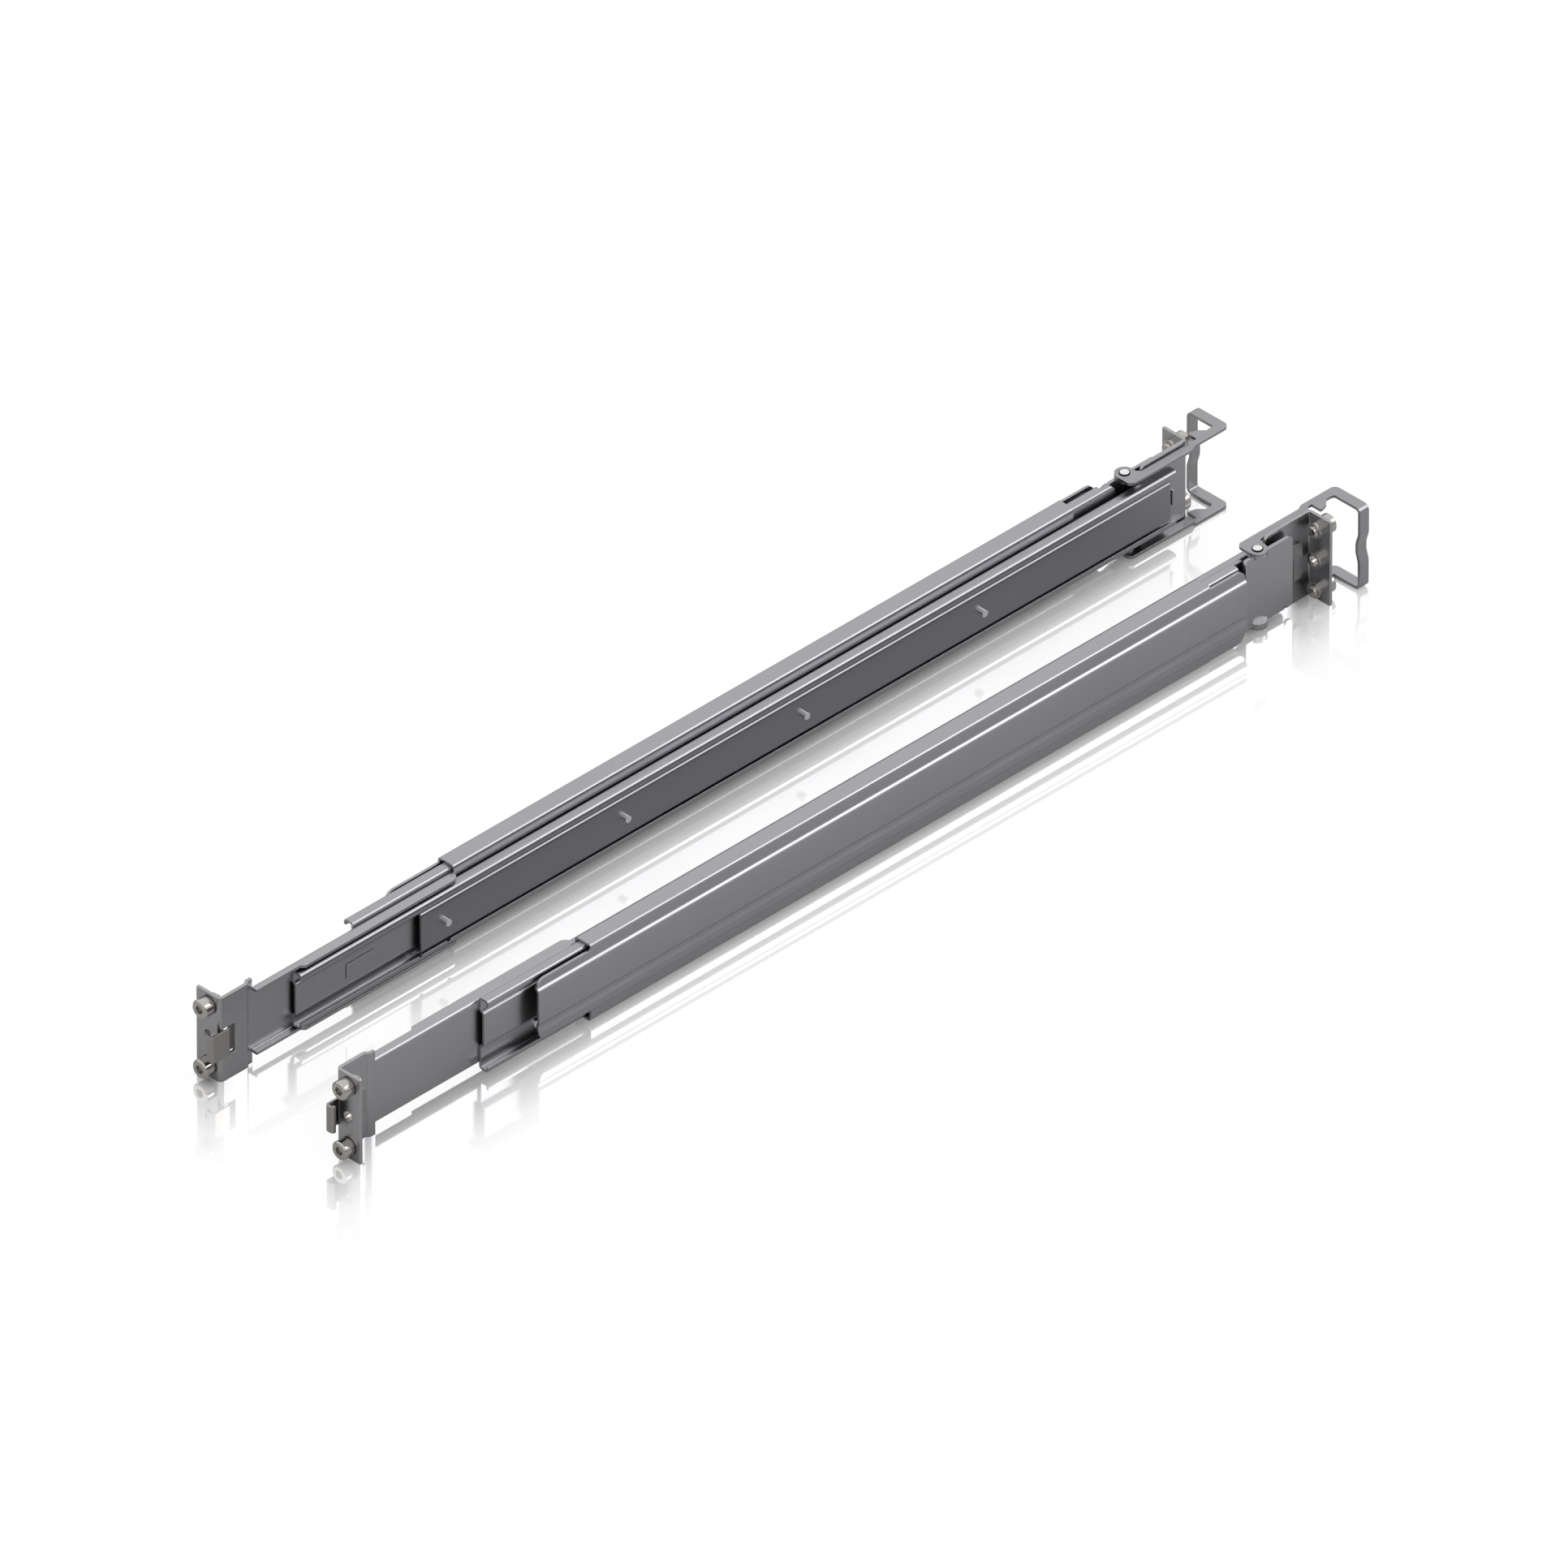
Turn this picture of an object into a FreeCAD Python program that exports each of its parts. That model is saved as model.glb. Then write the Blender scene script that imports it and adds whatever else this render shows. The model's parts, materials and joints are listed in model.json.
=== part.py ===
"""Sliding rail pair that carries a 1U server in a rack, drawn closed, in millimetres.

Each rail is a telescoping outer channel with a bracket and locating pins at each end, a swing
latch at the rear, a spring hook at the front, and a ball slide that carries the server. The right
rail is drawn once in rail coordinates and the left one is its mirror image. Rail coordinates:
across is outwards from the server, along runs from the front flange to the rear, up is from the
lower edge of the flanges. In the finished part X is across, Y is front to rear and Z is up.
"""
import FreeCAD
import Part
import math
import os

# Rack interface
flange_height = 44.4
pin_pitch = 31.75
front_pin_across = 7.3
rear_pin_across = 9.0
rail_clear_width = 71.3

# Locating pins, their studs and the clinch nuts behind the flanges
pin_diameter = 9.1
pin_length = 5.65
pin_chamfer = 0.6
pin_base_diameter = 7.9
pin_base_length = 0.6
socket_flats = 4.0
socket_depth = 2.4
stud_diameter = 5.0
stud_length = 6.2
nut_diameter = 7.8
nut_length = 3.0

# Sheet thicknesses and bend radii on the middle line of a sheet
bracket_sheet = 1.5
rail_sheet = 1.2
latch_sheet = 1.5
spring_sheet = 1.0
bracket_bend = 1.5
rail_bend = 1.2
rib_bend = 0.9

# Front bracket
front_flange_width = 14.6
front_web_length = 16.5
front_ear_end = 20.8
body_bottom_clearance = 2.2
body_top_clearance = 2.8
body_end = 143.0
narrow_flange_reach = 1.4
wide_flange_reach = 3.2
wide_flange_start = 47.2
body_corner = 4.0

# Front latch, a spring hook
front_latch_height = 13.8
front_latch_low = 13.5
front_latch_pad_start = 7.0
front_latch_pad_end = 15.5
front_latch_inset = 0.1
front_hook_along = 5.2
front_hook_reach = 3.0
front_hook_lip = 1.6
front_window_margin = 0.6
front_window_start = 2.0
front_window_end = 8.9

# Outer channel
channel_start = 84.0
channel_end = 546.0
channel_tail = 7.0
channel_height = 38.2
channel_depth = 5.75
channel_lip = 3.0
channel_rib_top_drop = 6.7
channel_rib_bottom_rise = 12.0
channel_rib_rise = 2.1
rib_slope = 1.6

# Rear extension, which slides on the outer channel
wrap_clearance = 0.15
extension_start = 111.0
extension_end = 547.5
hooks_start = 144.0
hooks_end = 526.0
extension_depth = 7.2
extension_bulge = 1.5
extension_lip = 5.85
bulge_top = 34.2
bulge_bottom = 17.9
groove_top = 16.5
groove_bottom = 14.3
low_bulge_top = 13.0
low_bulge_bottom = 9.5
bulge_slope = 1.6
bulge_bend = 2.0
groove_depth = 0.6
tongue_low = 8.3
tongue_high = 39.8
tongue_corner = 5.0

# Rear pivot plate
plate_start = 500.0
plate_tongue_height = 14.6
plate_tongue_middle = 26.0
plate_joggle = 4.5
plate_step_end = 581.6
plate_tab_end = 590.0
plate_tab_height = 19.0
ear_gap = 3.5
ear_radius = 4.6
pivot_across = 5.3
pivot_along = 561.2
pivot_diameter = 3.7
pivot_clearance = 0.15
pivot_head = 0.4
notch_size = 2.4

# Rear bracket
rear_web_clearance = 0.2
rear_web_start = 568.0
rear_face = 597.0
rear_flange_reach = 16.0
rear_web_corner = 4.0

# Rear latch, a swing handle with a tooth that closes behind the rack post
latch_inner_edge = 3.2
latch_strip_edge = 0.9
latch_overhang = 21.0
latch_rear_strip = 5.4
latch_bar_reach = 17.8
latch_bar_bend = 2.3
latch_dent_depth = 1.5
latch_dent_half = 7.25
latch_dent_flat_half = 2.25
latch_dent_bend = 8.0
latch_tooth_reach = 5.2
latch_tooth_gap = 3.5
latch_rise = 1.5
latch_float = 0.1

# Ball slide
slide_start = 45.0
slide_end = 584.0
slide_height = 29.6
slide_depth = 5.9
slide_lip = 3.4
slide_rib_half = 7.8
slide_rib_rise = 1.5
slide_rib_slope = 1.2
flap_start = 75.0
flap_length = 17.0
flap_slot = 0.6
runner_start = 118.0
runner_end = 580.0
runner_depth = 3.4
runner_tip_clearance = 1.5

# Balls and cage
ball_diameter = 2.8
ball_clearance = 0.1
ball_count = 5
ball_pitch = 24.0
cage_start = 252.0
cage_end = 376.0
cage_sheet = 0.8
cage_width = 3.0
cage_hole_clearance = 0.05
ball_inset = 1.9

# Server studs on the inner runner
server_stud_start = 132.5
server_stud_pitch = 110.0
server_stud_count = 4
server_stud_diameter = 3.5
server_stud_length = 2.5
server_stud_neck = 2.4

# Rivets
rivet_diameter = 2.4
rivet_head_diameter = 4.4
rivet_head_height = 0.9
spacer_diameter = 5.6
bracket_rivets_along = (118.0, 135.0)
bracket_rivet_up = 10.8
spacer_start = 200.0
spacer_pitch = 84.0
spacer_count = 5
plate_rivets_along = (508.0, 538.0)
tab_rivet_spread = 5.0
tab_rivet_inset = 3.0

# Worked out from the sizes above
mid_height = flange_height / 2
web_outer = 2 * bracket_sheet
channel_low = mid_height - channel_height / 2
channel_high = mid_height + channel_height / 2
channel_web_out = web_outer + rail_sheet
channel_reach = web_outer + channel_depth
slide_web_in = bracket_sheet - rail_sheet
slide_low = mid_height - slide_height / 2
slide_high = mid_height + slide_height / 2
slide_rib_face = slide_web_in - slide_rib_rise
runner_web_inner = slide_web_in - runner_tip_clearance - runner_depth
race_height = ball_diameter + 2 * ball_clearance
runner_low = slide_low + rail_sheet + race_height
runner_high = slide_high - rail_sheet - race_height
extension_web_in = web_outer + extension_depth
extension_low = channel_low - wrap_clearance - rail_sheet
extension_high = channel_high + wrap_clearance + rail_sheet
bulge_face_in = extension_web_in + extension_bulge
rear_web_in = bracket_sheet + rear_web_clearance
rear_web_out = rear_web_in + bracket_sheet
arm_top = flange_height - ear_gap + latch_float + latch_sheet
latch_end = rear_face + latch_overhang
part_middle = (latch_end - pin_length) / 2


def at(across, along, up):
    """A point in rail coordinates."""
    return FreeCAD.Vector(across, along, up)


def block(across, along, up):
    """A block from three (low, high) pairs."""
    size = [high - low for low, high in (across, along, up)]
    return Part.makeBox(size[0], size[1], size[2], at(across[0], along[0], up[0]))


def rod(diameter, start, end):
    """A round bar from one point to another."""
    way = end - start
    return Part.makeCylinder(diameter / 2, way.Length, start, way)


def edges_through(stops, to_space):
    """Edges along a list of stops, each a point or a (start, middle, end) of an arc."""
    edges = []
    last = None
    for stop in stops:
        first = stop[0] if isinstance(stop, tuple) else stop
        if last is not None and (first - last).Length > 1e-6:
            edges.append(Part.LineSegment(to_space(last), to_space(first)).toShape())
        if isinstance(stop, tuple):
            edges.append(Part.Arc(*[to_space(p) for p in stop]).toShape())
            last = stop[2]
        else:
            last = stop
    return edges


def corner_arc(before, corner, after, radius, shift):
    """Arc that rounds a corner of a line, on the line shifted sideways by a distance."""
    ahead = (corner - before).normalize()
    onward = (after - corner).normalize()
    turn = ahead.getAngle(onward)
    inward = (onward - ahead).normalize()
    centre = corner + inward * (radius / math.cos(turn / 2))
    trim = radius * math.tan(turn / 2)
    start = corner - ahead * trim + FreeCAD.Vector(-ahead.y, ahead.x, 0) * shift
    end = corner + onward * trim + FreeCAD.Vector(-onward.y, onward.x, 0) * shift
    middle = centre - inward * (start - centre).Length
    return (start, middle, end)


def bent_sheet(points, thickness, bend, to_space, way):
    """A sheet bent along a middle line of (p, q) or (p, q, bend radius) points, then extruded."""
    line = [FreeCAD.Vector(point[0], point[1], 0) for point in points]
    radii = [point[2] if len(point) > 2 else bend for point in points]
    faces = []
    for shift in (thickness / 2, -thickness / 2):
        first = (line[1] - line[0]).normalize()
        final = (line[-1] - line[-2]).normalize()
        stops = [line[0] + FreeCAD.Vector(-first.y, first.x, 0) * shift]
        for i in range(1, len(line) - 1):
            stops.append(corner_arc(line[i - 1], line[i], line[i + 1], radii[i], shift))
        stops.append(line[-1] + FreeCAD.Vector(-final.y, final.x, 0) * shift)
        faces.append(stops)
    edges = edges_through(faces[0], to_space) + edges_through(faces[1], to_space)
    edges += edges_through([faces[0][0], faces[1][0]], to_space)
    edges += edges_through([faces[0][-1], faces[1][-1]], to_space)
    outline = Part.Wire(Part.__sortEdges__(edges))
    return Part.Face(outline).extrude(way)


def long_sheet(points, thickness, bend, start, end):
    """A sheet whose section, in (across, up), runs along the rail."""
    return bent_sheet(points, thickness, bend, lambda p: at(p.x, start, p.y), at(0, end - start, 0))


def plan_sheet(points, thickness, bend, low, high):
    """A sheet whose plan, in (across, along), stands upright."""
    return bent_sheet(points, thickness, bend, lambda p: at(p.x, p.y, low), at(0, 0, high - low))


def side_sheet(points, thickness, bend, inner, outer):
    """A sheet whose side view, in (along, up), runs across the rail."""
    return bent_sheet(points, thickness, bend, lambda p: at(inner, p.x, p.y), at(outer - inner, 0, 0))


def outline_solid(points, to_space, way):
    """A solid from a closed outline of (p, q) or (p, q, corner radius) points."""
    loop = [FreeCAD.Vector(point[0], point[1], 0) for point in points]
    count = len(loop)
    stops = []
    for i in range(count):
        radius = points[i][2] if len(points[i]) > 2 else 0
        if radius:
            stops.append(corner_arc(loop[i - 1], loop[i], loop[(i + 1) % count], radius, 0))
        else:
            stops.append(loop[i])
    first = stops[0][0] if isinstance(stops[0], tuple) else stops[0]
    edges = edges_through(stops + [first], to_space)
    return Part.Face(Part.Wire(Part.__sortEdges__(edges))).extrude(way)


def plan_outline(points, low, high):
    """A solid from an outline in (across, along)."""
    return outline_solid(points, lambda p: at(p.x, p.y, low), at(0, 0, high - low))


def side_outline(points, inner, outer):
    """A solid from an outline in (along, up)."""
    return outline_solid(points, lambda p: at(inner, p.x, p.y), at(outer - inner, 0, 0))


def mirrored_up(shape):
    """The same shape mirrored about the middle height of the rail."""
    return shape.mirror(at(0, 0, mid_height), at(0, 0, 1))


def spacer_places():
    """Where the spacer rivets between the channel and the slide stand."""
    return [spacer_start + spacer_pitch * i for i in range(spacer_count)]


def pin_heights():
    """Heights of the two locating pins of a flange."""
    return (mid_height - pin_pitch / 2, mid_height + pin_pitch / 2)


def rivet_holes():
    """Bars that drill the bracket rivets' holes through bracket, channel and slide."""
    low, high = at(-10, 0, bracket_rivet_up), at(10, 0, bracket_rivet_up)
    return [rod(rivet_diameter, low + at(0, y, 0), high + at(0, y, 0)) for y in bracket_rivets_along]


def spacer_holes():
    """Bars that drill the spacer rivets' holes through the ribs of channel and slide."""
    low, high = at(-10, 0, mid_height), at(10, 0, mid_height)
    return [rod(rivet_diameter, low + at(0, y, 0), high + at(0, y, 0)) for y in spacer_places()]


def stud_holes(across, start, end):
    """Bars that drill a flange for two locating pins and the threaded hole between them."""
    heights = pin_heights() + (mid_height,)
    return [rod(stud_diameter, at(across, start, z), at(across, end, z)) for z in heights]


def front_bracket():
    """Flange, joggled web and the channel-shaped body behind them."""
    half = bracket_sheet / 2
    plan = [(front_flange_width, half), (half, half), (half, front_web_length),
            (half + bracket_sheet, front_web_length + bracket_sheet),
            (half + bracket_sheet, front_ear_end)]
    front = plan_sheet(plan, bracket_sheet, bracket_bend, 0, flange_height)
    web = web_outer - half
    low, high = slide_low - body_bottom_clearance + half, slide_high + body_top_clearance - half
    section = [(-wide_flange_reach, high), (web, high), (web, low), (-wide_flange_reach, low)]
    body = long_sheet(section, bracket_sheet, bracket_bend, front_ear_end, body_end)
    step = wide_flange_reach - narrow_flange_reach
    trim = [(-narrow_flange_reach, front_ear_end), (-narrow_flange_reach, wide_flange_start),
            (-wide_flange_reach, wide_flange_start + step), (-wide_flange_reach, body_end, body_corner),
            (web_outer, body_end), (web_outer, front_ear_end)]
    body = body.common(plan_outline(trim, 0, flange_height))
    window = block((-bracket_sheet, 1.5 * bracket_sheet), (front_window_start, front_window_end),
                   (front_latch_low - front_window_margin,
                    front_latch_low + front_latch_height + front_window_margin))
    bracket = front.fuse(body).removeSplitter()
    return bracket.cut([window] + stud_holes(front_pin_across, -1, bracket_sheet + 1) + rivet_holes())


def outer_channel():
    """Channel that opens outwards, with a raised rib and turned lips."""
    half = rail_sheet / 2
    web, tip = web_outer + half, channel_reach - half
    low, high = channel_low + half, channel_high - half
    rib_top = channel_high - channel_rib_top_drop
    rib_bottom = channel_low + channel_rib_bottom_rise
    rib = web + channel_rib_rise
    section = [(tip, channel_high - channel_lip), (tip, high), (web, high),
               (web, rib_top, rib_bend), (rib, rib_top - rib_slope, rib_bend),
               (rib, rib_bottom + rib_slope, rib_bend), (web, rib_bottom, rib_bend),
               (web, low), (tip, low), (tip, channel_low + channel_lip)]
    body = long_sheet(section, rail_sheet, rail_bend, channel_start, channel_end)
    bend_reach = web + rail_bend + half
    tail = [(bend_reach, high), (web, high), (web, low), (bend_reach, low)]
    tail = long_sheet(tail, rail_sheet, rail_bend, channel_end, channel_end + channel_tail)
    corner = channel_tail / 2
    trim = [(channel_end, channel_low), (channel_end + channel_tail, channel_low, corner),
            (channel_end + channel_tail, channel_high, corner), (channel_end, channel_high)]
    tail = tail.common(side_outline(trim, 0, channel_reach))
    rib_wall = outline_solid([(web_outer, rib_top + half), (rib + half, rib_top - rib_slope),
                              (rib + half, rib_bottom + rib_slope), (web_outer, rib_bottom - half)],
                             lambda p: at(p.x, channel_end - rail_sheet, p.y), at(0, rail_sheet, 0))
    channel = body.fuse([tail, rib_wall]).removeSplitter()
    return channel.cut(rivet_holes() + spacer_holes())


def slide_outer():
    """Outer member of the ball slide, riveted to the bracket and the channel."""
    half = rail_sheet / 2
    web, lip = slide_web_in + half, bracket_sheet - slide_depth + half
    low, high = slide_low + half, slide_high - half
    rib = web - slide_rib_rise
    rib_top, rib_bottom = mid_height + slide_rib_half, mid_height - slide_rib_half
    section = [(lip, slide_high - slide_lip), (lip, high), (web, high),
               (web, rib_top + slide_rib_slope, rib_bend), (rib, rib_top, rib_bend),
               (rib, rib_bottom, rib_bend), (web, rib_bottom - slide_rib_slope, rib_bend),
               (web, low), (lip, low), (lip, slide_low + slide_lip)]
    body = long_sheet(section, rail_sheet, rail_bend, slide_start, slide_end)
    stop = block((slide_rib_face - 1.8, slide_rib_face + half), (slide_end - rail_sheet, slide_end),
                 (mid_height - slide_rib_half / 2, mid_height + slide_rib_half / 2))
    body = body.fuse(stop)
    flap_up = mid_height + slide_rib_half / 2
    across = (rib - rail_sheet, rib + rail_sheet)
    slots = [block(across, (flap_start, flap_start + flap_length), (flap_up - flap_slot, flap_up)),
             block(across, (flap_start, flap_start + flap_slot), (mid_height - slide_rib_half / 2, flap_up))]
    return body.cut(slots + rivet_holes() + spacer_holes())


def slide_inner():
    """Inner runner, a shallow channel that opens outwards and is fixed to the server."""
    half = rail_sheet / 2
    web = runner_web_inner + half
    tip = slide_web_in - runner_tip_clearance
    low, high = runner_low + half, runner_high - half
    section = [(tip, high), (web, high), (web, low), (tip, low)]
    body = long_sheet(section, rail_sheet, rail_bend, runner_start, runner_end)
    holes = [rod(server_stud_neck, at(runner_web_inner - 1, y, mid_height),
                 at(runner_web_inner + 2 * rail_sheet, y, mid_height)) for y in server_stud_places()]
    return body.cut(holes)


def server_stud_places():
    """Where the studs that carry the server stand along the runner."""
    return [server_stud_start + server_stud_pitch * i for i in range(server_stud_count)]


def server_studs():
    """Studs that the server's side slots drop over, their necks riveted flush with the web."""
    studs = []
    for y in server_stud_places():
        face = at(runner_web_inner, y, mid_height)
        head = rod(server_stud_diameter, face - at(server_stud_length, 0, 0), face)
        neck = rod(server_stud_neck, face, face + at(rail_sheet, 0, 0))
        studs.append(head.fuse(neck).removeSplitter())
    return Part.makeCompound(studs)


def ball_spots():
    """Centres of the balls in both rows."""
    gap_middle = (runner_high + slide_high - rail_sheet) / 2
    first = (cage_start + cage_end - ball_pitch * (ball_count - 1)) / 2
    across = slide_web_in - ball_inset
    up_row = [at(across, first + ball_pitch * i, gap_middle) for i in range(ball_count)]
    return up_row + [at(p.x, p.y, flange_height - p.z) for p in up_row]


def bearing_balls():
    """Balls that roll between the outer slide and the inner runner."""
    return Part.makeCompound([Part.makeSphere(ball_diameter / 2, spot) for spot in ball_spots()])


def ball_cage():
    """Two strips that keep the balls apart, one in each race."""
    spots = ball_spots()
    strips = []
    for row in (spots[:ball_count], spots[ball_count:]):
        middle = row[0]
        strip = block((middle.x - cage_width / 2, middle.x + cage_width / 2),
                      (cage_start, cage_end), (middle.z - cage_sheet / 2, middle.z + cage_sheet / 2))
        hole = ball_diameter + 2 * cage_hole_clearance
        drills = [rod(hole, spot - at(0, 0, 2), spot + at(0, 0, 2)) for spot in row]
        strips.append(strip.cut(drills))
    return Part.makeCompound(strips)


def rail_rivets():
    """Rivets through bracket, channel and slide, and spacer rivets through the two ribs."""
    rivets = []
    for y in bracket_rivets_along:
        shank = rod(rivet_diameter, at(slide_web_in, y, bracket_rivet_up),
                    at(channel_web_out, y, bracket_rivet_up))
        head = rod(rivet_head_diameter, at(channel_web_out, y, bracket_rivet_up),
                   at(channel_web_out + rivet_head_height, y, bracket_rivet_up))
        rivets.append(shank.fuse(head).removeSplitter())
    rib_out = channel_web_out + channel_rib_rise
    rib_in = slide_rib_face + rail_sheet
    for y in spacer_places():
        shank = rod(rivet_diameter, at(slide_rib_face, y, mid_height), at(rib_out, y, mid_height))
        sleeve = rod(spacer_diameter, at(rib_in, y, mid_height), at(rib_out - rail_sheet, y, mid_height))
        head = rod(rivet_head_diameter, at(rib_out, y, mid_height),
                   at(rib_out + rivet_head_height, y, mid_height))
        rivets.append(shank.fuse([sleeve, head]).removeSplitter())
    return Part.makeCompound(rivets)


def locating_pin(across, face, outward, height):
    """A locating pin on one face of a flange, with hex socket, base step and threaded stud."""
    spot = at(across, face, height)
    way = at(0, outward, 0)
    base = rod(pin_base_diameter, spot, spot + way * pin_base_length)
    body = rod(pin_diameter, spot + way * pin_base_length, spot + way * (pin_length - pin_chamfer))
    nose = Part.makeCone(pin_diameter / 2, pin_diameter / 2 - pin_chamfer, pin_chamfer,
                         spot + way * (pin_length - pin_chamfer), way)
    stud = rod(stud_diameter, spot - way * stud_length, spot)
    corner = socket_flats / math.sqrt(3)
    ring = [(across + corner * math.cos(math.radians(60 * i)),
             height + corner * math.sin(math.radians(60 * i))) for i in range(6)]
    tip = face + outward * pin_length
    socket = outline_solid(ring, lambda p: at(p.x, tip, p.y), way * -socket_depth)
    return base.fuse([body, nose, stud]).removeSplitter().cut(socket)


def locating_pins(across, face, outward):
    """The two locating pins of one flange."""
    return Part.makeCompound([locating_pin(across, face, outward, z) for z in pin_heights()])


def clinch_nuts(across, face, inward):
    """Three clinch nuts behind a flange, the middle one open for the server's screw."""
    nuts = []
    for z in pin_heights() + (mid_height,):
        start, end = at(across, face, z), at(across, face + inward * nut_length, z)
        nuts.append(rod(nut_diameter, start, end).cut(rod(stud_diameter, start, end)))
    return Part.makeCompound(nuts)


def front_latch():
    """Spring hook riveted outside the web, which passes through the window and grips the post."""
    half = spring_sheet / 2
    pad = bracket_sheet + half
    arm = -front_latch_inset - half
    run = pad - arm
    plan = [(pad, front_latch_pad_end), (pad, front_latch_pad_start),
            (arm, front_latch_pad_start - run), (arm, -front_hook_along),
            (front_hook_reach, -front_hook_along, spring_sheet * 0.8),
            (front_hook_reach, -front_hook_along + front_hook_lip)]
    return plan_sheet(plan, spring_sheet, spring_sheet * 0.9, front_latch_low,
                      front_latch_low + front_latch_height)


def extension_section():
    """Middle line of the rear extension's web, from its top to its bottom bend."""
    web = extension_web_in + rail_sheet / 2
    bulge = web + extension_bulge
    groove = bulge - groove_depth
    return [(web, bulge_top + extension_bulge, bulge_bend), (bulge, bulge_top, bulge_bend),
            (bulge, bulge_bottom, rib_bend), (groove, groove_top, rib_bend),
            (groove, groove_bottom, rib_bend), (bulge, low_bulge_top, rib_bend),
            (bulge, low_bulge_bottom, rib_bend), (web, low_bulge_bottom - bulge_slope, rib_bend)]


def rear_extension():
    """Ribbed cover that wraps the outer channel and slides along it."""
    half = rail_sheet / 2
    web = extension_web_in + half
    lip = web_outer - wrap_clearance - half
    low, high = extension_low + half, extension_high - half
    tops = [(lip, extension_high - extension_lip), (lip, high), (web, high)]
    bottoms = [(web, low), (lip, low), (lip, extension_low + extension_lip)]
    wrap = long_sheet(tops + extension_section() + bottoms, rail_sheet, rail_bend, hooks_start, hooks_end)
    open_web = [(web, channel_high)] + extension_section() + [(web, channel_low)]
    ends = []
    spans = ((extension_start, hooks_start, tongue_low, tongue_high, (tongue_corner, 0)),
             (hooks_end, extension_end, channel_low, channel_high, (0, tongue_corner)))
    for start, end, low, high, corners in spans:
        shape = [(start, low, corners[0]), (end, low, corners[1]),
                 (end, high, corners[1]), (start, high, corners[0])]
        sheet = long_sheet(open_web, rail_sheet, rail_bend, start, end)
        ends.append(sheet.common(side_outline(shape, extension_web_in - 1, bulge_face_in + 2 * rail_sheet)))
    extension = wrap.fuse(ends).removeSplitter()
    holes = [rod(rivet_diameter, at(extension_web_in - 2, y, plate_tongue_middle),
                 at(bulge_face_in + 3, y, plate_tongue_middle)) for y in plate_rivets_along]
    return extension.cut(holes)


def rear_pivot_plate():
    """Plate from the extension to the rear bracket, with the two ears of the latch pivot."""
    half = bracket_sheet / 2
    tongue = bulge_face_in - half
    step = tongue - plate_joggle
    tab = rear_web_out + half
    drop = step - tab
    plan = [(tongue, plate_start), (tongue, extension_end), (step, extension_end + plate_joggle),
            (step, plate_step_end), (tab, plate_step_end + drop), (tab, plate_tab_end)]
    top, bottom = flange_height - ear_gap, ear_gap
    sheet = plan_sheet(plan, bracket_sheet, bracket_bend, bottom, top)
    tongue_low = plate_tongue_middle - plate_tongue_height / 2
    tongue_high = plate_tongue_middle + plate_tongue_height / 2
    tab_low, tab_high = mid_height - plate_tab_height / 2, mid_height + plate_tab_height / 2
    rise = extension_end + plate_joggle
    side = [(plate_start, tongue_low, 2), (extension_end, tongue_low), (rise, bottom, 3),
            (plate_step_end, bottom, 3), (plate_step_end, tab_low), (plate_tab_end, tab_low, 2),
            (plate_tab_end, tab_high, 2), (plate_step_end, tab_high), (plate_step_end, top, 3),
            (rise, top, 3), (extension_end, tongue_high), (plate_start, tongue_high, 2)]
    plate = sheet.common(side_outline(side, 0, bulge_face_in + 2))
    ear = rod(2 * ear_radius, at(pivot_across, pivot_along, bottom),
              at(pivot_across, pivot_along, bottom + bracket_sheet))
    notch = side_outline([(plate_step_end - 3, bottom - 1), (plate_step_end - 3 - notch_size, bottom - 1),
                          (plate_step_end - 3 - notch_size, bottom + notch_size)], 0, bulge_face_in)
    pivot_hole = rod(pivot_diameter, at(pivot_across, pivot_along, bottom),
                     at(pivot_across, pivot_along, bottom + bracket_sheet))
    holes = [rod(rivet_diameter, at(0, y, z), at(bulge_face_in + 2, y, z)) for y, z in plate_rivet_spots()]
    plate = plate.fuse([ear, mirrored_up(ear)]).removeSplitter()
    return plate.cut([notch, pivot_hole, mirrored_up(pivot_hole)] + holes)


def plate_rivet_spots():
    """Where the pivot plate is riveted, as (along, up): tongue first, then the rear tab."""
    spots = [(y, plate_tongue_middle) for y in plate_rivets_along]
    rear = plate_tab_end - tab_rivet_inset
    return spots + [(rear, mid_height - tab_rivet_spread), (rear, mid_height + tab_rivet_spread)]


def carriage_rivets():
    """Flush rivets that hold the pivot plate to the extension and to the rear bracket."""
    tongue = (bulge_face_in - bracket_sheet, bulge_face_in + rail_sheet)
    tab = (rear_web_in, rear_web_out + bracket_sheet)
    spans = (tongue, tongue, tab, tab)
    return Part.makeCompound([rod(rivet_diameter, at(inner, y, z), at(outer, y, z))
                              for (y, z), (inner, outer) in zip(plate_rivet_spots(), spans)])


def rear_bracket():
    """Rear flange with the short web that stands on the carriage."""
    half = bracket_sheet / 2
    plan = [(rear_flange_reach, rear_face - half), (rear_web_in + half, rear_face - half),
            (rear_web_in + half, rear_web_start)]
    sheet = plan_sheet(plan, bracket_sheet, bracket_bend, 0, flange_height)
    side = [(rear_web_start, 0, rear_web_corner), (rear_face, 0), (rear_face, flange_height),
            (rear_web_start, flange_height, rear_web_corner)]
    sheet = sheet.common(side_outline(side, 0, rear_flange_reach + 1))
    holes = [rod(rivet_diameter, at(0, y, z), at(rear_web_out + 1, y, z))
             for y, z in plate_rivet_spots()[2:]]
    return sheet.cut(holes + stud_holes(rear_pin_across, rear_face - bracket_sheet - 1, rear_face + 1))


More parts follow.
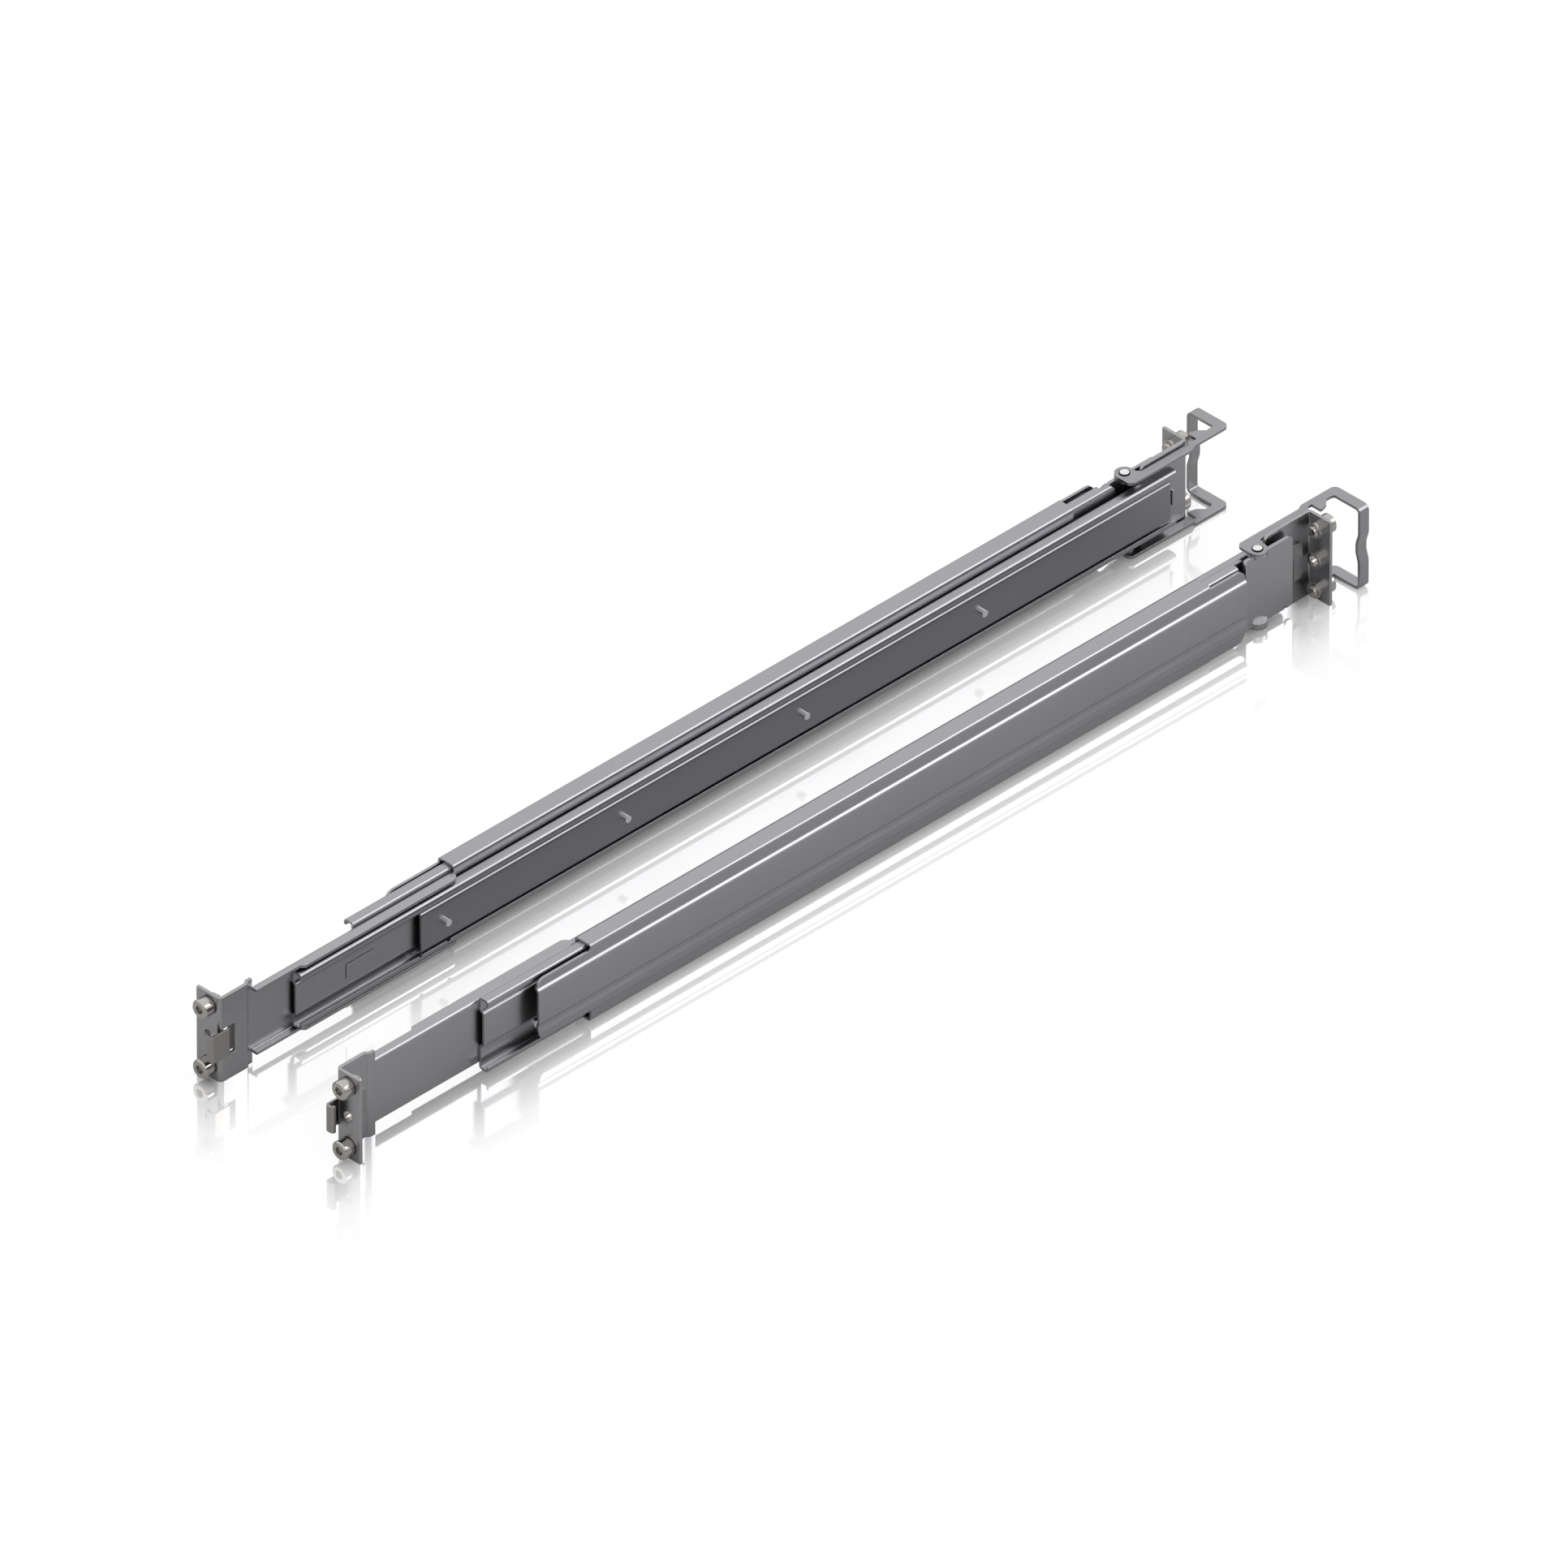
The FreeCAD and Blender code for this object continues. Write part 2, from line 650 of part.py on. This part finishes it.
def rear_latch():
    """Swing handle: two arms with eyelets and teeth, joined by the dented bar at the rear."""
    half = latch_sheet / 2
    low_arm, high_arm = arm_top - half, arm_top - half + latch_rise
    side = [(pivot_along - 2 * ear_radius, low_arm), (rear_face - latch_rise, low_arm),
            (rear_face, high_arm), (latch_end, high_arm)]
    arm = side_sheet(side, latch_sheet, 1.0, -latch_inner_edge, latch_bar_reach)
    bar_front = latch_end - latch_rear_strip
    tooth = rear_face + latch_tooth_gap
    bay = latch_strip_edge + 0.4
    front, back = pivot_along - ear_radius, pivot_along + ear_radius
    plan = [(-latch_inner_edge, front, 3), (-latch_inner_edge, latch_end, 3), (latch_bar_reach, latch_end),
            (latch_bar_reach, bar_front), (bay + 0.6, bar_front), (bay, bar_front - 1.6),
            (bay, tooth + 7.5), (latch_tooth_reach - 1, tooth + 4.5), (latch_tooth_reach, tooth + 1.5),
            (latch_tooth_reach, tooth), (-0.3, tooth), (-0.3, rear_face + latch_rise),
            (latch_strip_edge, rear_face), (latch_strip_edge, back + 2), (latch_strip_edge + 1.8, back),
            (pivot_across, back), (pivot_across, front)]
    eyelet = rod(2 * ear_radius, at(pivot_across, pivot_along, arm_top - latch_sheet),
                 at(pivot_across, pivot_along, arm_top))
    arm = arm.common(plan_outline(plan, 0, flange_height + 1)).fuse(eyelet)
    bar_line = latch_bar_reach - half
    low, high = flange_height - high_arm, high_arm
    dent = bar_line - latch_dent_depth
    bar_start = bar_line - 2 * latch_bar_bend
    bar = [(bar_start, high), (bar_line, high), (bar_line, mid_height + latch_dent_half, latch_dent_bend),
           (dent, mid_height + latch_dent_flat_half, latch_dent_bend),
           (dent, mid_height - latch_dent_flat_half, latch_dent_bend),
           (bar_line, mid_height - latch_dent_half, latch_dent_bend), (bar_line, low), (bar_start, low)]
    bar = long_sheet(bar, latch_sheet, latch_bar_bend, bar_front, latch_end)
    corner = block((bar_line - latch_bar_bend, latch_bar_reach + 1), (bar_front - 1, latch_end + 1),
                   (high - latch_sheet, high + latch_sheet))
    arm = arm.cut(corner)
    latch = arm.fuse([mirrored_up(arm), bar]).removeSplitter()
    hole = pivot_diameter + 2 * pivot_clearance
    return latch.cut(rod(hole, at(pivot_across, pivot_along, -1),
                         at(pivot_across, pivot_along, flange_height + 1)))


def latch_pivot_pins():
    """Two short pins, set in the plate's ears, on which the latch swings."""
    top_face = flange_height - ear_gap
    pivot = at(pivot_across, pivot_along, 0)
    foot = top_face - bracket_sheet
    tip = arm_top + latch_float
    shank = rod(pivot_diameter, pivot + at(0, 0, foot), pivot + at(0, 0, tip))
    head_size = pivot_diameter + 4 * pivot_clearance
    head = rod(head_size, pivot + at(0, 0, tip), pivot + at(0, 0, tip + pivot_head))
    pin = shank.fuse(head).removeSplitter()
    return Part.makeCompound([pin, mirrored_up(pin)])


def right_rail():
    """Every piece of one rail by name, in rail coordinates."""
    return {
        "front_bracket": front_bracket(),
        "outer_channel": outer_channel(),
        "slide_outer": slide_outer(),
        "rail_rivets": rail_rivets(),
        "front_pins": locating_pins(front_pin_across, 0, -1),
        "front_nuts": clinch_nuts(front_pin_across, bracket_sheet, 1),
        "front_latch": front_latch(),
        "rear_extension": rear_extension(),
        "rear_pivot_plate": rear_pivot_plate(),
        "rear_bracket": rear_bracket(),
        "carriage_rivets": carriage_rivets(),
        "rear_pins": locating_pins(rear_pin_across, rear_face, 1),
        "rear_nuts": clinch_nuts(rear_pin_across, rear_face - bracket_sheet, -1),
        "rear_latch": rear_latch(),
        "latch_pivot_pins": latch_pivot_pins(),
        "slide_inner": slide_inner(),
        "server_studs": server_studs(),
        "ball_cage": ball_cage(),
        "bearing_balls": bearing_balls(),
    }


os.makedirs("parts", exist_ok=True)
for name, shape in right_rail().items():
    placed = shape.translated(at(rail_clear_width / 2, -part_middle, 0))
    placed.exportStep("parts/right_" + name + ".step")
    other = placed.mirror(at(0, 0, 0), at(1, 0, 0))
    other.exportStep("parts/left_" + name + ".step")
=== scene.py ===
import json
import math

import bmesh
import bpy
from mathutils import Matrix, Vector


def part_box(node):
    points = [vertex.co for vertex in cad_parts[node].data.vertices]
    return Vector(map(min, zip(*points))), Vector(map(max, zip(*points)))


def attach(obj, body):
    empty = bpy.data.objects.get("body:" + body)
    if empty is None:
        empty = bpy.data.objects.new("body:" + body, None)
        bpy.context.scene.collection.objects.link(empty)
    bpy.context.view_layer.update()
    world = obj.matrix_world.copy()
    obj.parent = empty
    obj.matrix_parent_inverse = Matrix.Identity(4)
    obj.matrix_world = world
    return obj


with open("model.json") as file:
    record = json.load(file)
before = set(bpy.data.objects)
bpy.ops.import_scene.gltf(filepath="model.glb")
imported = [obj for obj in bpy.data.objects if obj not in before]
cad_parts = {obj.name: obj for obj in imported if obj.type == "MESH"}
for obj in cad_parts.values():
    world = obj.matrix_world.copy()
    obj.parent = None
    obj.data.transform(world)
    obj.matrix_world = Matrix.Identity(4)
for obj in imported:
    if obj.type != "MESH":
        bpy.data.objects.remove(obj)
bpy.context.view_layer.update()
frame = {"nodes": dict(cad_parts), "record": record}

MM = 0.001

# The photograph's view: a long lens far away, looking down at the front right corner
PHOTO_PIXELS = 1932
PIXELS_PER_METRE = 2829.0
VIEW_AZIMUTH = 45.0
VIEW_ELEVATION = 35.264
ORIGIN_PIXEL = (959.4, 1020.3)
LENS = 1500.0
SENSOR = 36.0
CLIP_START = 0.1
CLIP_END = 100.0

# Sizes of the finishes' marks: rolled lines, plating clouds, tool marks and broken edges
LINE_STRETCH = 0.012
LINE_BUMP = 0.03 * MM
CLOUD_SIZE = 28 * MM
TOOL_MARK = 0.5 * MM
TOOL_BUMP = 0.02 * MM
EDGE_SAMPLES = 6

# Sizes of the dressed details
EDGE_BREAK = 0.15 * MM
SHARP_ANGLE = math.radians(32)
MERGE_DISTANCE = 0.002 * MM
THREAD_PITCH = 0.8 * MM
THREAD_HEIGHT = 0.28 * MM
THREAD_STEPS = 24
THREAD_FLANK = 0.42
THREAD_ROOT = 0.05 * MM
THREAD_SINK = 0.1 * MM
PIN_FACE = 5.65 * MM
STUD_RADIUS = 2.5 * MM
NUT_FACE = 4.5 * MM
STUD_TIP = 6.0 * MM
RING_WIDTH = 0.42 * MM
RING_HEIGHT = 0.25 * MM
RING_GAP = 0.02 * MM
RING_STEPS = 48
PIVOT_HEAD = 0.4 * MM
DOUBLES = 0.001 * MM

# The floor: half its width, its brightness and matt share to the camera, its grey as the metal
# mirrors it, and how rough its gloss is
FLOOR_HALF = 6.0
FLOOR_WHITE = 1.02
FLOOR_MATT = 0.14
FLOOR_SEEN = 0.55
FLOOR_ROUGHNESS = 0.05

# The floor's gloss beside a rail and far from it, how tall a reflection gets before it fades, and
# the places across and along the pair from which that is counted
GLOSS_NEAR = 0.86
GLOSS_FAR = 0.05
GLOSS_FADE = 46 * MM
GLOSS_CURVE = 1.4
NEAR_FACE = 34 * MM
FAR_FACE = -44 * MM
FRONT_FACE = -306 * MM
REAR_FACE = 312 * MM

# The room gets darker towards the horizon, given as heights of the unit direction
HORIZON_LOW = 0.02
HORIZON_HIGH = 0.24
HORIZON_DARK = 0.06

# The soft box that catches the bends
BOX_PLACE = (1.3, 1.3, 1.3)
BOX_SIZE = 0.8
BOX_POWER = 6.5

# Pieces that lie flush in another sheet and look like it
FLUSH_IN = {"carriage_rivets": "rail_sheet"}


def linear(hex_colour):
    """Linear colour with full alpha from an sRGB hex value."""
    parts = [int(hex_colour[i:i + 2], 16) / 255 for i in (0, 2, 4)]
    return tuple(c / 12.92 if c <= 0.04045 else ((c + 0.055) / 1.055) ** 2.4 for c in parts) + (1.0,)


def add(tree, kind, links=None, values=None, **settings):
    """A shader node with its properties, its socket values and its incoming links."""
    node = tree.nodes.new(kind)
    for key, value in settings.items():
        setattr(node, key, value)
    for socket, value in (values or {}).items():
        node.inputs[socket].default_value = value
    for socket, source in (links or {}).items():
        tree.links.new(source, node.inputs[socket])
    return node


def new_material(name):
    """An empty node material and its tree."""
    material = bpy.data.materials.new(name)
    material.use_nodes = True
    material.node_tree.nodes.clear()
    return material, material.node_tree


def rounded_normal(tree, radius):
    """Normal that rolls over a broken edge, and a mask that is 1 on such edges."""
    bevel = add(tree, "ShaderNodeBevel", values={"Radius": radius}, samples=EDGE_SAMPLES)
    geometry = add(tree, "ShaderNodeNewGeometry")
    likeness = add(tree, "ShaderNodeVectorMath", {0: bevel.outputs[0], 1: geometry.outputs["Normal"]},
                   operation="DOT_PRODUCT")
    mask = add(tree, "ShaderNodeMapRange", {"Value": likeness.outputs["Value"]},
               {"From Min": 0.999, "From Max": 0.90, "To Min": 0.0, "To Max": 1.0})
    return bevel.outputs[0], mask.outputs[0]


def bare_metal(tree, colour, gloss, bump):
    """Ends a material as plain metal with the given colour, roughness and bump nodes."""
    shader = add(tree, "ShaderNodeBsdfPrincipled",
                 {"Base Color": colour.outputs["Result"], "Roughness": gloss.outputs[0],
                  "Normal": bump.outputs[0]}, {"Metallic": 1.0})
    add(tree, "ShaderNodeOutputMaterial", {"Surface": shader.outputs[0]})


def rolled_zinc(name, body_hex, pale_hex, edge_hex, roughness, line_mm):
    """Cold-rolled steel sheet, zinc plated and passivated: a satin grey with a faint violet cast.

    Rolling leaves long fine lines along the rail, plating leaves soft clouds, and cut edges are
    brighter. The real lines are about 0.1 mm apart, too fine to show, so they are drawn wider.
    """
    material, tree = new_material(name)
    place = add(tree, "ShaderNodeTexCoord")
    along = add(tree, "ShaderNodeMapping", {"Vector": place.outputs["Object"]},
                {"Scale": (1.0, LINE_STRETCH, 1.0)})
    lines = add(tree, "ShaderNodeTexNoise", {"Vector": along.outputs[0]},
                {"Scale": 1 / (line_mm * MM), "Detail": 4.0, "Roughness": 0.6})
    clouds = add(tree, "ShaderNodeTexNoise", {"Vector": place.outputs["Object"]},
                 {"Scale": 1 / CLOUD_SIZE, "Detail": 3.0, "Roughness": 0.5})
    normal, edge = rounded_normal(tree, EDGE_BREAK * 2)
    shade = add(tree, "ShaderNodeMapRange", {"Value": clouds.outputs["Fac"]},
                {"From Min": 0.3, "From Max": 0.7, "To Min": 0.0, "To Max": 0.5})
    streak = add(tree, "ShaderNodeMath", {0: lines.outputs["Fac"], 1: shade.outputs[0]},
                 operation="MULTIPLY")
    cloudy = add(tree, "ShaderNodeMix", {"Factor": streak.outputs[0]},
                 {"A": linear(body_hex), "B": linear(pale_hex)}, data_type="RGBA")
    worn = add(tree, "ShaderNodeMix", {"Factor": edge, "A": cloudy.outputs["Result"]},
               {"B": linear(edge_hex)}, data_type="RGBA")
    gloss = add(tree, "ShaderNodeMapRange", {"Value": clouds.outputs["Fac"]},
                {"To Min": roughness - 0.05, "To Max": roughness + 0.07})
    bump = add(tree, "ShaderNodeBump", {"Height": lines.outputs["Fac"], "Normal": normal},
               {"Strength": 0.12, "Distance": LINE_BUMP})
    bare_metal(tree, worn, gloss, bump)
    return material


def turned_nickel(name, body_hex, edge_hex, roughness):
    """Turned steel with bright nickel plating: warm grey, mirror-like, with faint tool marks."""
    material, tree = new_material(name)
    place = add(tree, "ShaderNodeTexCoord")
    marks = add(tree, "ShaderNodeTexNoise", {"Vector": place.outputs["Object"]},
                {"Scale": 1 / TOOL_MARK, "Detail": 3.0})
    normal, edge = rounded_normal(tree, EDGE_BREAK)
    colour = add(tree, "ShaderNodeMix", {"Factor": edge}, {"A": linear(body_hex), "B": linear(edge_hex)},
                 data_type="RGBA")
    gloss = add(tree, "ShaderNodeMapRange", {"Value": marks.outputs["Fac"]},
                {"To Min": roughness - 0.04, "To Max": roughness + 0.08})
    bump = add(tree, "ShaderNodeBump", {"Height": marks.outputs["Fac"], "Normal": normal},
               {"Strength": 0.05, "Distance": TOOL_BUMP})
    bare_metal(tree, colour, gloss, bump)
    return material


def finishes():
    """One material for each real finish, by the record's slot names."""
    return {
        "bracket_sheet": rolled_zinc("zinc_bracket", "a8a8ab", "afafb1", "c0c0c2", 0.28, 0.7),
        "rail_sheet": rolled_zinc("zinc_rail", "a6a6aa", "adadb0", "bdbdc0", 0.30, 0.9),
        "runner_sheet": rolled_zinc("zinc_runner", "929297", "99999d", "ababaf", 0.30, 0.8),
        "latch_sheet": rolled_zinc("zinc_latch", "9e9ea1", "a5a5a7", "b4b4b6", 0.30, 0.6),
        "spring_sheet": rolled_zinc("zinc_spring_strip", "a09d9a", "a8a5a2", "b8b5b2", 0.28, 0.5),
        "cage_sheet": rolled_zinc("zinc_cage", "86868c", "94949a", "b0b0b4", 0.35, 0.5),
        "pin_steel": turned_nickel("nickel_pin", "bcb8b3", "d8d5d0", 0.10),
        "rivet_steel": turned_nickel("headed_rivet", "ececee", "f4f4f5", 0.20),
        "ball_steel": turned_nickel("ground_ball", "c4c4c8", "dcdcde", 0.08),
    }


def dress_nodes(materials):
    """Gives every carried-over piece its finish, smooth bends and broken edges."""
    slots = {row["node"]: row["material_slot"] for row in frame["record"]["subparts"]}
    for name, piece in frame["nodes"].items():
        piece.data.materials.clear()
        kind = name.split("_", 1)[1]
        piece.data.materials.append(materials[FLUSH_IN.get(kind, slots[name])])
        piece.data.shade_smooth()
        weld = piece.modifiers.new("merge", "WELD")
        weld.merge_threshold = MERGE_DISTANCE
        split = piece.modifiers.new("crease", "EDGE_SPLIT")
        split.split_angle = SHARP_ANGLE


def thread_on(bm, centre, outward):
    """Adds one stud's thread to a mesh: a small ridge spun into a helix towards the stud's tip."""
    length = STUD_TIP - NUT_FACE
    turns = int(length / THREAD_PITCH * 10) / 10
    low = centre - outward * (NUT_FACE - THREAD_SINK)
    side = Vector((1, 0, 0))
    half = THREAD_PITCH * THREAD_FLANK
    corners = [low + side * (STUD_RADIUS - THREAD_ROOT),
               low + side * (STUD_RADIUS + THREAD_HEIGHT) - outward * half,
               low + side * (STUD_RADIUS - THREAD_ROOT) - outward * 2 * half]
    face = bm.faces.new([bm.verts.new(c) for c in corners])
    steps = int(THREAD_STEPS * turns)
    bmesh.ops.spin(bm, geom=[face, *face.edges, *face.verts], cent=low, axis=outward,
                   dvec=-outward * (THREAD_PITCH * turns / steps), angle=2 * math.pi * turns,
                   steps=steps, use_duplicate=False)


def piece_from(bm, name, material, body):
    """A scene piece made of a mesh, with its material, that rides on one body."""
    mesh = bpy.data.meshes.new(name)
    bm.to_mesh(mesh)
    bm.free()
    mesh.materials.append(material)
    piece = bpy.data.objects.new(name, mesh)
    bpy.context.scene.collection.objects.link(piece)
    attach(piece, body)
    return piece


def pivot_rings(side, material):
    """Rings round the heads of one rail's two pivot pins, standing for spring washers; drawn near black,
    they also paint the shade in the gaps round the heads.
    """
    low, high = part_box(f"{side}_latch_pivot_pins")
    middle = (low + high) / 2
    radius = (high.x - low.x) / 2 + RING_GAP
    outer = radius + RING_WIDTH
    section = ((radius, 0), (outer, 0), (outer, RING_HEIGHT), (radius, RING_HEIGHT))
    bm = bmesh.new()
    for head, way in ((high.z - PIVOT_HEAD, 1), (low.z + PIVOT_HEAD, -1)):
        centre = Vector((middle.x, middle.y, head))
        corners = [centre + Vector((reach, 0, way * rise)) for reach, rise in section]
        face = bm.faces.new([bm.verts.new(c) for c in corners])
        bmesh.ops.spin(bm, geom=[face, *face.edges, *face.verts], cent=centre, axis=(0, 0, 1),
                       angle=2 * math.pi, steps=RING_STEPS, use_duplicate=False)
    bmesh.ops.remove_doubles(bm, verts=bm.verts, dist=DOUBLES)
    seams = [f for f in bm.faces if abs(f.normal.y) > 0.99
             and f.calc_center_median().x > middle.x + radius
             and abs(f.calc_center_median().y - middle.y) < DOUBLES / 10]
    bmesh.ops.delete(bm, geom=seams, context="FACES_ONLY")
    bmesh.ops.recalc_face_normals(bm, faces=bm.faces)
    return piece_from(bm, f"{side}_pivot_rings", material, f"{side}_rear_carriage")


def stud_threads(side, end, material):
    """The threads that show behind the two outer nuts of one flange."""
    low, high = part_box(f"{side}_{end}_pins")
    outward = Vector((0, -1 if end == "front" else 1, 0))
    face = low.y + PIN_FACE if end == "front" else high.y - PIN_FACE
    radius = (high.x - low.x) / 2
    bm = bmesh.new()
    for height in (low.z + radius, high.z - radius):
        thread_on(bm, Vector(((low.x + high.x) / 2, face, height)), outward)
    bmesh.ops.recalc_face_normals(bm, faces=bm.faces)
    body = "fixed_rails" if end == "front" else f"{side}_rear_carriage"
    return piece_from(bm, f"{side}_{end}_threads", material, body)


def set_camera():
    """The photograph's view, held by a long lens so that edges stay parallel."""
    azimuth, elevation = math.radians(VIEW_AZIMUTH), math.radians(VIEW_ELEVATION)
    back = Vector((math.sin(azimuth) * math.cos(elevation),
                   -math.cos(azimuth) * math.cos(elevation), math.sin(elevation)))
    right = Vector((math.cos(azimuth), math.sin(azimuth), 0))
    up = back.cross(right)
    middle = PHOTO_PIXELS / 2
    target = right * ((middle - ORIGIN_PIXEL[0]) / PIXELS_PER_METRE)
    target += up * ((ORIGIN_PIXEL[1] - middle) / PIXELS_PER_METRE)
    distance = PHOTO_PIXELS / PIXELS_PER_METRE * LENS / SENSOR
    data = bpy.data.cameras.new("camera")
    data.lens = LENS
    data.sensor_width = SENSOR
    data.clip_start = CLIP_START
    data.clip_end = CLIP_END
    camera = bpy.data.objects.new("camera", data)
    camera.matrix_world = Matrix.Translation(target + back * distance) @ Matrix(
        (right, up, back)).transposed().to_4x4()
    bpy.context.scene.collection.objects.link(camera)
    bpy.context.scene.camera = camera


def soft_box(name, position, size, power):
    """A square soft lamp that faces the middle of the pair."""
    data = bpy.data.lights.new(name, "AREA")
    data.size = size
    data.energy = power
    lamp = bpy.data.objects.new(name, data)
    lamp.location = position
    lamp.rotation_mode = "QUATERNION"
    lamp.rotation_quaternion = (-Vector(position)).to_track_quat("-Z", "Y")
    bpy.context.scene.collection.objects.link(lamp)


def combine(tree, operation, first, second):
    """One step of arithmetic on two values, each a number or another node's output."""
    links = {i: v for i, v in enumerate((first, second)) if not isinstance(v, float)}
    values = {i: v for i, v in enumerate((first, second)) if isinstance(v, float)}
    return add(tree, "ShaderNodeMath", links, values, operation=operation).outputs[0]


def fading_gloss(tree):
    """The floor's gloss: strong where it mirrors a rail's foot, weak where it mirrors what is higher.

    Seen from the photograph's side, a point of a rail at some height is mirrored that far in front
    of the rail's face, so the distance from the nearest face in front stands for the height.
    """
    spot = add(tree, "ShaderNodeSeparateXYZ", {0: add(tree, "ShaderNodeNewGeometry").outputs["Position"]})
    past_near = combine(tree, "GREATER_THAN", spot.outputs["X"], NEAR_FACE)
    step = combine(tree, "MULTIPLY", past_near, NEAR_FACE - FAR_FACE)
    across = combine(tree, "SUBTRACT", combine(tree, "SUBTRACT", spot.outputs["X"], FAR_FACE), step)
    beside = combine(tree, "ABSOLUTE", across, 0.0)
    before = combine(tree, "SUBTRACT", FRONT_FACE, spot.outputs["Y"])
    behind = combine(tree, "SUBTRACT", spot.outputs["Y"], REAR_FACE)
    ends = combine(tree, "MAXIMUM", before, behind)
    mirrored = combine(tree, "MAXIMUM", beside, ends)
    foot = add(tree, "ShaderNodeMapRange", {"Value": mirrored},
               {"From Min": 0.0, "From Max": GLOSS_FADE, "To Min": 1.0, "To Max": 0.0})
    curve = combine(tree, "POWER", foot.outputs[0], GLOSS_CURVE)
    return combine(tree, "ADD", combine(tree, "MULTIPLY", curve, GLOSS_NEAR - GLOSS_FAR), GLOSS_FAR)


def set_floor():
    """A plain white floor, glossy beside the rails. What the metal mirrors of it is a mid grey."""
    material, tree = new_material("studio_floor")
    path = add(tree, "ShaderNodeLightPath")
    share = fading_gloss(tree)
    rest = combine(tree, "SUBTRACT", FLOOR_WHITE - FLOOR_MATT, share)
    matt = add(tree, "ShaderNodeBsdfDiffuse", values={"Color": (FLOOR_MATT, FLOOR_MATT, FLOOR_MATT, 1)})
    glow = add(tree, "ShaderNodeEmission", {"Strength": rest}, {"Color": (1, 1, 1, 1)})
    gloss = add(tree, "ShaderNodeBsdfAnisotropic", {"Color": share}, {"Roughness": FLOOR_ROUGHNESS})
    pale = add(tree, "ShaderNodeAddShader", {0: matt.outputs[0], 1: glow.outputs[0]})
    white = add(tree, "ShaderNodeAddShader", {0: pale.outputs[0], 1: gloss.outputs[0]})
    grey = add(tree, "ShaderNodeBsdfDiffuse", values={"Color": (FLOOR_SEEN, FLOOR_SEEN, FLOOR_SEEN, 1)})
    both = add(tree, "ShaderNodeMixShader",
               {0: path.outputs["Is Camera Ray"], 1: grey.outputs[0], 2: white.outputs[0]})
    add(tree, "ShaderNodeOutputMaterial", {"Surface": both.outputs[0]})
    bm = bmesh.new()
    bmesh.ops.create_grid(bm, x_segments=1, y_segments=1, size=FLOOR_HALF)
    mesh = bpy.data.meshes.new("studio_floor")
    bm.to_mesh(mesh)
    bm.free()
    mesh.materials.append(material)
    floor = bpy.data.objects.new("studio_floor", mesh)
    bpy.context.scene.collection.objects.link(floor)


def set_light():
    """Soft studio light: a white room, darker at the horizon, and a soft box that catches bends."""
    world = bpy.data.worlds.new("studio")
    bpy.context.scene.world = world
    world.use_nodes = True
    tree = world.node_tree
    tree.nodes.clear()
    way = add(tree, "ShaderNodeSeparateXYZ", {0: add(tree, "ShaderNodeTexCoord").outputs["Generated"]})
    rise = add(tree, "ShaderNodeMapRange", {"Value": way.outputs["Z"]},
               {"From Min": HORIZON_LOW, "From Max": HORIZON_HIGH, "To Min": HORIZON_DARK, "To Max": 1.0})
    light = add(tree, "ShaderNodeBackground", {"Strength": rise.outputs[0]}, {"Color": (1, 1, 1, 1)})
    add(tree, "ShaderNodeOutputWorld", {"Surface": light.outputs[0]})
    soft_box("bend_light", BOX_PLACE, BOX_SIZE, BOX_POWER)


def main():
    """Camera, stage, light, finishes and details, in that order."""
    set_camera()
    set_floor()
    set_light()
    bpy.context.scene.view_settings.view_transform = "Standard"
    materials = finishes()
    dress_nodes(materials)
    # Near-black rings: partly spring washers, partly painted shade of the dark gaps round the pivot heads
    washer_and_gap_shade = turned_nickel("washer_and_gap_shade_ring", "2c2c2e", "3c3c3e", 0.35)
    for side in ("right", "left"):
        pivot_rings(side, washer_and_gap_shade)
        for end in ("front", "rear"):
            stud_threads(side, end, materials["pin_steel"])


main()
